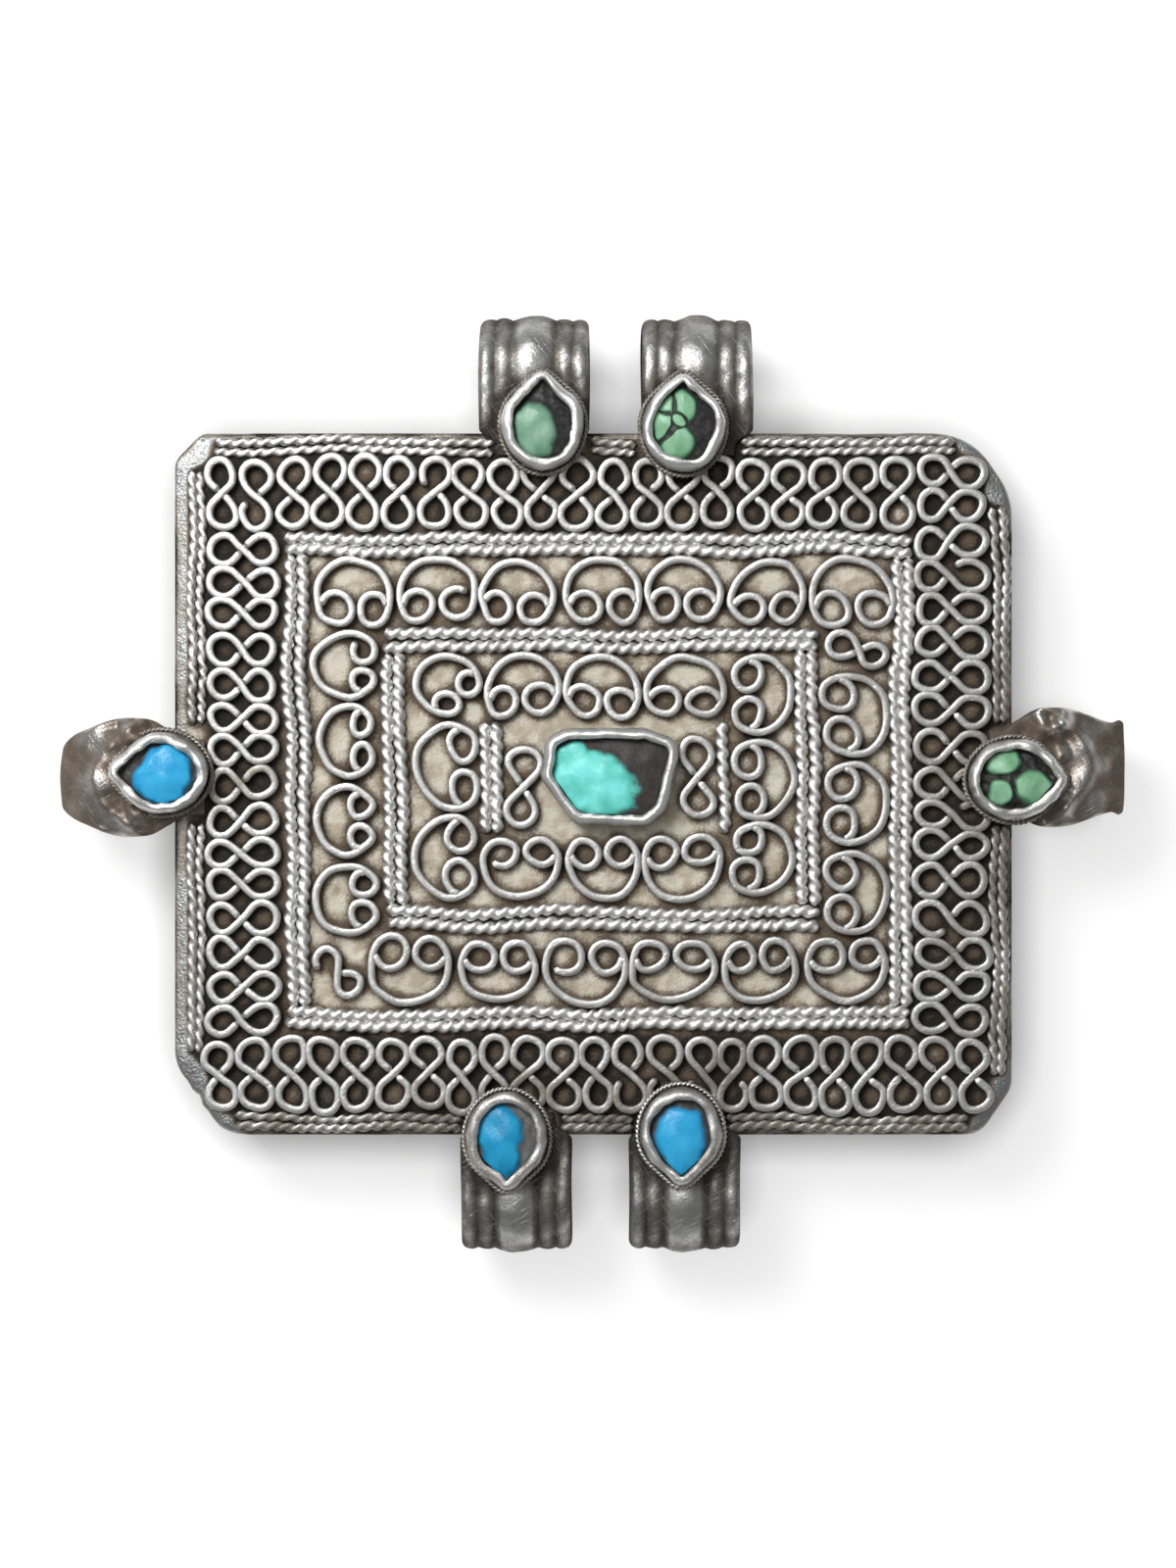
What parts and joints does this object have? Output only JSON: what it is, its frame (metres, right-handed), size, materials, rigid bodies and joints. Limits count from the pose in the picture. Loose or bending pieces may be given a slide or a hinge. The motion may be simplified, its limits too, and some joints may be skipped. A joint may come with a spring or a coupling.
{
  "type": "ghau amulet box",
  "caption": "Flat rectangular silver amulet box with a filigree face, set stones and ribbed cord loops; the face is a cover that pulls off a shallow tray.",
  "frame": {"origin": "middle of the back sheet's outer face, on the surface that the box lies on", "axes": "+X to the right along the face, +Y to the top of the face, +Z out of the face"},
  "size_m": [0.0962, 0.084, 0.0157],
  "materials": {
    "face_silver": "aged silver sheet with a warm brown patina that is darkest beside the wires",
    "sheet_silver": "aged silver sheet, hand hammered and finely scratched",
    "worn_silver": "silver worn bright on its crests, dark in its grooves",
    "wire_silver": "silver filigree wire, bright on top with a dark patina low down",
    "green_stone": "polished green turquoise with a dark matrix",
    "blue_stone": "polished blue turquoise",
    "sky_stone": "polished sky-blue turquoise with a grey matrix",
    "brown_stone": "polished turquoise, half of it dark brown matrix",
    "lac": "dark setting lac, a natural resin"
  },
  "bodies": {
    "back_tray": {"back_sheet": "sheet_silver", "tray_wall": "sheet_silver"},
    "front_cover": {"bezel_bottom_left": "worn_silver", "bezel_bottom_right": "worn_silver", "bezel_left": "worn_silver", "bezel_right": "worn_silver", "bezel_top_left": "worn_silver", "bezel_top_right": "worn_silver", "centre_bezel": "worn_silver", "centre_eight_left": "wire_silver", "centre_eight_right": "wire_silver", "centre_rope_left": "wire_silver", "centre_rope_right": "wire_silver", "centre_stone": "brown_stone", "collar_bottom_left": "wire_silver", "collar_bottom_right": "wire_silver", "collar_left": "wire_silver", "collar_right": "wire_silver", "collar_top_left": "wire_silver", "collar_top_right": "wire_silver", "edge_rope_bottom": "wire_silver", "edge_rope_left": "wire_silver", "edge_rope_right": "wire_silver", "edge_rope_top": "wire_silver", "eights_bottom": "wire_silver", "eights_left": "wire_silver", "eights_right": "wire_silver", "eights_top": "wire_silver", "face_sheet": "face_silver", "front_wall": "sheet_silver", "inner_rope_bottom": "wire_silver", "inner_rope_left": "wire_silver", "inner_rope_right": "wire_silver", "inner_rope_top": "wire_silver", "inner_scrolls_bottom": "wire_silver", "inner_scrolls_left": "wire_silver", "inner_scrolls_right": "wire_silver", "inner_scrolls_top": "wire_silver", "lac_beds": "lac", "loop_bottom_left": "worn_silver", "loop_bottom_right": "worn_silver", "loop_left": "worn_silver", "loop_right": "worn_silver", "loop_top_left": "worn_silver", "loop_top_right": "worn_silver", "outer_rope_bottom": "wire_silver", "outer_rope_left": "wire_silver", "outer_rope_right": "wire_silver", "outer_rope_top": "wire_silver", "outer_scrolls_bottom": "wire_silver", "outer_scrolls_left": "wire_silver", "outer_scrolls_right": "wire_silver", "outer_scrolls_top": "wire_silver", "stone_bottom_left": "blue_stone", "stone_bottom_right": "blue_stone", "stone_left": "sky_stone", "stone_right": "green_stone", "stone_top_left": "green_stone", "stone_top_right": "green_stone"}
  },
  "joints": [
    {"name": "cover_lift", "type": "slide", "parent": "back_tray", "child": "front_cover", "axis": [0, 0, 1], "range_m": [0, 0.025]}
  ]
}
